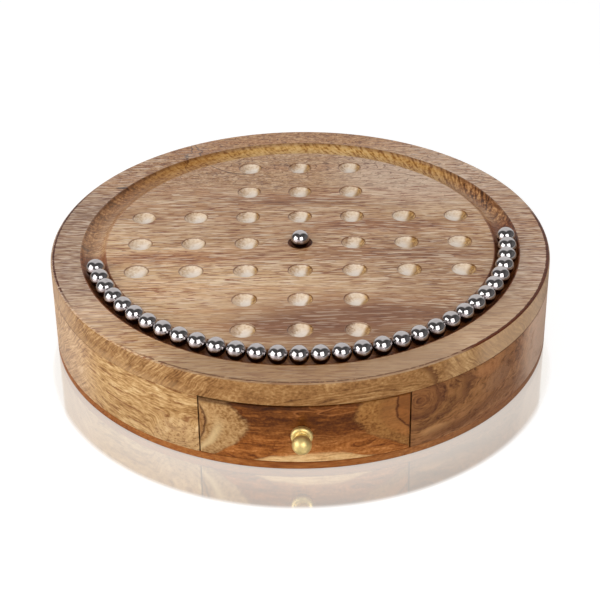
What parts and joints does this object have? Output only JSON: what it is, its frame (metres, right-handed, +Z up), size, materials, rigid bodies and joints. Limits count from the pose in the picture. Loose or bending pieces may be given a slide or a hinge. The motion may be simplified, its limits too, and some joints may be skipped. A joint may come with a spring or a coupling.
{
  "type": "peg solitaire board",
  "caption": "Round wooden peg solitaire board with dimples for steel balls, a ball groove round the edge, and a storage drawer with a brass knob in its side.",
  "frame": {"origin": "centre of the disc on its underside, where the board stands on a table", "axes": "+Z up through the disc's centre, -Y towards the drawer's knob, +X to the right seen from the drawer"},
  "size_m": [0.254, 0.2663, 0.0548],
  "materials": {
    "top_wood": "satin, fine dark pores",
    "side_wood": "oiled, semi-gloss",
    "base_wood": "oiled, satin",
    "drawer_front_wood": "oiled, semi-gloss",
    "drawer_wood": "bare, matte",
    "brass": "polished, slightly brushed",
    "screw_steel": "zinc plated",
    "ball_steel": "polished"
  },
  "bodies": {
    "case": {"top_board": "top_wood", "case_body": "side_wood", "base_panel": "base_wood", "base_screw_1": "screw_steel", "base_screw_2": "screw_steel", "base_screw_3": "screw_steel", "base_screw_4": "screw_steel", "base_screw_5": "screw_steel", "base_screw_6": "screw_steel"},
    "drawer": {"drawer_front": "drawer_front_wood", "drawer_side_left": "drawer_wood", "drawer_side_right": "drawer_wood", "drawer_back": "drawer_wood", "drawer_bottom": "drawer_wood", "knob": "brass", "knob_screw": "screw_steel"},
    "ball_center": {"ball_center": "ball_steel"},
    "ball_01": {"ball_01": "ball_steel"},
    "ball_02": {"ball_02": "ball_steel"},
    "ball_03": {"ball_03": "ball_steel"},
    "ball_04": {"ball_04": "ball_steel"},
    "ball_05": {"ball_05": "ball_steel"},
    "ball_06": {"ball_06": "ball_steel"},
    "ball_07": {"ball_07": "ball_steel"},
    "ball_08": {"ball_08": "ball_steel"},
    "ball_09": {"ball_09": "ball_steel"},
    "ball_10": {"ball_10": "ball_steel"},
    "ball_11": {"ball_11": "ball_steel"},
    "ball_12": {"ball_12": "ball_steel"},
    "ball_13": {"ball_13": "ball_steel"},
    "ball_14": {"ball_14": "ball_steel"},
    "ball_15": {"ball_15": "ball_steel"},
    "ball_16": {"ball_16": "ball_steel"},
    "ball_17": {"ball_17": "ball_steel"},
    "ball_18": {"ball_18": "ball_steel"},
    "ball_19": {"ball_19": "ball_steel"},
    "ball_20": {"ball_20": "ball_steel"},
    "ball_21": {"ball_21": "ball_steel"},
    "ball_22": {"ball_22": "ball_steel"},
    "ball_23": {"ball_23": "ball_steel"},
    "ball_24": {"ball_24": "ball_steel"},
    "ball_25": {"ball_25": "ball_steel"},
    "ball_26": {"ball_26": "ball_steel"},
    "ball_27": {"ball_27": "ball_steel"},
    "ball_28": {"ball_28": "ball_steel"},
    "ball_29": {"ball_29": "ball_steel"},
    "ball_30": {"ball_30": "ball_steel"},
    "ball_31": {"ball_31": "ball_steel"},
    "ball_32": {"ball_32": "ball_steel"}
  },
  "joints": [
    {"name": "drawer_slide", "type": "slide", "parent": "case", "child": "drawer", "axis": [0, -1, 0], "range_m": [0, 0.12]},
    {"name": "ball_center_lift", "type": "slide", "parent": "case", "child": "ball_center", "axis": [0, 0, 1], "range_m": [0, 0.04]},
    {"name": "ball_01_lift", "type": "slide", "parent": "case", "child": "ball_01", "axis": [0, 0, 1], "range_m": [0, 0.04]},
    {"name": "ball_02_lift", "type": "slide", "parent": "case", "child": "ball_02", "axis": [0, 0, 1], "range_m": [0, 0.04]},
    {"name": "ball_03_lift", "type": "slide", "parent": "case", "child": "ball_03", "axis": [0, 0, 1], "range_m": [0, 0.04]},
    {"name": "ball_04_lift", "type": "slide", "parent": "case", "child": "ball_04", "axis": [0, 0, 1], "range_m": [0, 0.04]},
    {"name": "ball_05_lift", "type": "slide", "parent": "case", "child": "ball_05", "axis": [0, 0, 1], "range_m": [0, 0.04]},
    {"name": "ball_06_lift", "type": "slide", "parent": "case", "child": "ball_06", "axis": [0, 0, 1], "range_m": [0, 0.04]},
    {"name": "ball_07_lift", "type": "slide", "parent": "case", "child": "ball_07", "axis": [0, 0, 1], "range_m": [0, 0.04]},
    {"name": "ball_08_lift", "type": "slide", "parent": "case", "child": "ball_08", "axis": [0, 0, 1], "range_m": [0, 0.04]},
    {"name": "ball_09_lift", "type": "slide", "parent": "case", "child": "ball_09", "axis": [0, 0, 1], "range_m": [0, 0.04]},
    {"name": "ball_10_lift", "type": "slide", "parent": "case", "child": "ball_10", "axis": [0, 0, 1], "range_m": [0, 0.04]},
    {"name": "ball_11_lift", "type": "slide", "parent": "case", "child": "ball_11", "axis": [0, 0, 1], "range_m": [0, 0.04]},
    {"name": "ball_12_lift", "type": "slide", "parent": "case", "child": "ball_12", "axis": [0, 0, 1], "range_m": [0, 0.04]},
    {"name": "ball_13_lift", "type": "slide", "parent": "case", "child": "ball_13", "axis": [0, 0, 1], "range_m": [0, 0.04]},
    {"name": "ball_14_lift", "type": "slide", "parent": "case", "child": "ball_14", "axis": [0, 0, 1], "range_m": [0, 0.04]},
    {"name": "ball_15_lift", "type": "slide", "parent": "case", "child": "ball_15", "axis": [0, 0, 1], "range_m": [0, 0.04]},
    {"name": "ball_16_lift", "type": "slide", "parent": "case", "child": "ball_16", "axis": [0, 0, 1], "range_m": [0, 0.04]},
    {"name": "ball_17_lift", "type": "slide", "parent": "case", "child": "ball_17", "axis": [0, 0, 1], "range_m": [0, 0.04]},
    {"name": "ball_18_lift", "type": "slide", "parent": "case", "child": "ball_18", "axis": [0, 0, 1], "range_m": [0, 0.04]},
    {"name": "ball_19_lift", "type": "slide", "parent": "case", "child": "ball_19", "axis": [0, 0, 1], "range_m": [0, 0.04]},
    {"name": "ball_20_lift", "type": "slide", "parent": "case", "child": "ball_20", "axis": [0, 0, 1], "range_m": [0, 0.04]},
    {"name": "ball_21_lift", "type": "slide", "parent": "case", "child": "ball_21", "axis": [0, 0, 1], "range_m": [0, 0.04]},
    {"name": "ball_22_lift", "type": "slide", "parent": "case", "child": "ball_22", "axis": [0, 0, 1], "range_m": [0, 0.04]},
    {"name": "ball_23_lift", "type": "slide", "parent": "case", "child": "ball_23", "axis": [0, 0, 1], "range_m": [0, 0.04]},
    {"name": "ball_24_lift", "type": "slide", "parent": "case", "child": "ball_24", "axis": [0, 0, 1], "range_m": [0, 0.04]},
    {"name": "ball_25_lift", "type": "slide", "parent": "case", "child": "ball_25", "axis": [0, 0, 1], "range_m": [0, 0.04]},
    {"name": "ball_26_lift", "type": "slide", "parent": "case", "child": "ball_26", "axis": [0, 0, 1], "range_m": [0, 0.04]},
    {"name": "ball_27_lift", "type": "slide", "parent": "case", "child": "ball_27", "axis": [0, 0, 1], "range_m": [0, 0.04]},
    {"name": "ball_28_lift", "type": "slide", "parent": "case", "child": "ball_28", "axis": [0, 0, 1], "range_m": [0, 0.04]},
    {"name": "ball_29_lift", "type": "slide", "parent": "case", "child": "ball_29", "axis": [0, 0, 1], "range_m": [0, 0.04]},
    {"name": "ball_30_lift", "type": "slide", "parent": "case", "child": "ball_30", "axis": [0, 0, 1], "range_m": [0, 0.04]},
    {"name": "ball_31_lift", "type": "slide", "parent": "case", "child": "ball_31", "axis": [0, 0, 1], "range_m": [0, 0.04]},
    {"name": "ball_32_lift", "type": "slide", "parent": "case", "child": "ball_32", "axis": [0, 0, 1], "range_m": [0, 0.04]}
  ]
}
